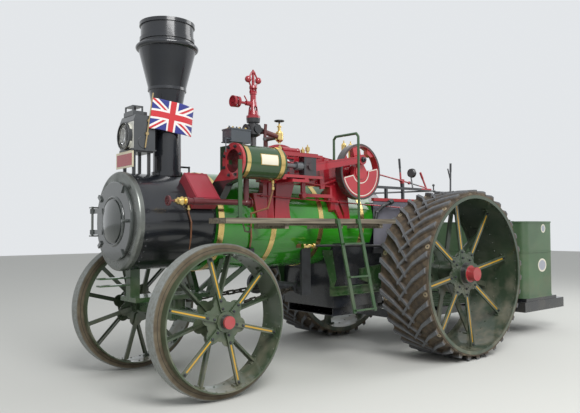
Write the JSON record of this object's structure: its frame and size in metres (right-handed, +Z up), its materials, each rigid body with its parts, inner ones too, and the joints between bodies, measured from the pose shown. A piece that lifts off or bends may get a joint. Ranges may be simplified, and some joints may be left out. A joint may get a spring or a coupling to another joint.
{
  "type": "steam traction engine",
  "caption": "Agricultural steam traction engine with spoked steel wheels, lugged rubber rear tyres, a side-mounted cylinder and a rear water tank.",
  "frame": {"origin": "on the ground, below the middle of the engine's length and width", "axes": "+X to the front, +Y to the engine's left, +Z up"},
  "size_m": [6.387, 2.616, 3.279],
  "materials": {
    "gloss_green": "gloss",
    "dark_green": "gloss",
    "engine_red": "gloss",
    "smokebox_black": "satin",
    "graphite": "satin",
    "grey_paint": "satin",
    "cast_iron": "satin",
    "chain_steel": "matte",
    "bright_steel": "satin",
    "brass": "polished",
    "copper": "satin",
    "rubber": "matte",
    "guide_ring": "matte",
    "timber": "matte",
    "cloth": "matte"
  },
  "bodies": {
    "root": {"boiler": "gloss_green", "brass_trim": "brass", "smokebox": "smokebox_black", "smokebox_ring": "graphite", "tool_tin": "engine_red", "firebox": "smokebox_black", "side_sheets": "graphite", "chimney": "smokebox_black", "headlamp": "smokebox_black", "lamp_bracket": "smokebox_black", "flag": "cloth", "cylinder": "dark_green", "engine_frame": "engine_red", "guide_bars": "bright_steel", "valve_gear": "engine_red", "connecting_rod": "engine_red", "crank_disc": "engine_red", "crankshaft": "bright_steel", "flywheel": "engine_red", "gear_train": "cast_iron", "governor": "engine_red", "lubricator": "grey_paint", "steam_pipe": "engine_red", "feed_pipes": "copper", "controls": "cast_iron", "running_board": "timber", "ladder_and_rails": "dark_green", "platform": "smokebox_black", "water_tank": "dark_green", "rear_axle": "dark_green", "steering_gear": "cast_iron", "steering_chains": "chain_steel", "perch": "dark_green"},
    "smokebox_door": {"smokebox_door": "graphite"},
    "fire_door": {"fire_door": "cast_iron"},
    "tank_lid": {"tank_lid": "dark_green"},
    "front_axle": {"front_axle": "dark_green"},
    "front_left_wheel": {"front_left_wheel": "dark_green", "front_left_ring": "guide_ring"},
    "front_right_wheel": {"front_right_wheel": "dark_green", "front_right_ring": "guide_ring"},
    "rear_left_wheel": {"rear_left_wheel": "dark_green", "rear_left_tyre": "rubber"},
    "rear_right_wheel": {"rear_right_wheel": "dark_green", "rear_right_tyre": "rubber"}
  },
  "joints": [
    {"name": "steering", "type": "hinge", "parent": "root", "child": "front_axle", "pos_m": [2.4755, 0, 0.635], "axis": [0, 0, 1], "range_deg": [-30, 30], "deforming": ["steering_chains"]},
    {"name": "smokebox_door_hinge", "type": "hinge", "parent": "root", "child": "smokebox_door", "pos_m": [3.0685, -0.435, 1.46], "axis": [0, 0, 1], "range_deg": [-110, 0]},
    {"name": "fire_door_hinge", "type": "hinge", "parent": "root", "child": "fire_door", "pos_m": [0.0545, -0.212, 1.23], "axis": [0, 0, 1], "range_deg": [0, 100]},
    {"name": "tank_lid_hinge", "type": "hinge", "parent": "root", "child": "tank_lid", "pos_m": [-2.6525, 0.3, 1.488], "axis": [0, 1, 0], "range_deg": [-95, 0]},
    {"name": "front_left_roll", "type": "hinge", "parent": "front_axle", "child": "front_left_wheel", "pos_m": [2.4755, 0.76, 0.635], "axis": [0, 1, 0], "continuous": true},
    {"name": "rear_left_roll", "type": "hinge", "parent": "root", "child": "rear_left_wheel", "pos_m": [-0.4235, 1.003, 0.897], "axis": [0, 1, 0], "continuous": true},
    {"name": "front_right_roll", "type": "hinge", "parent": "front_axle", "child": "front_right_wheel", "pos_m": [2.4755, -0.76, 0.635], "axis": [0, 1, 0], "continuous": true},
    {"name": "rear_right_roll", "type": "hinge", "parent": "root", "child": "rear_right_wheel", "pos_m": [-0.4235, -1.003, 0.897], "axis": [0, 1, 0], "continuous": true}
  ]
}
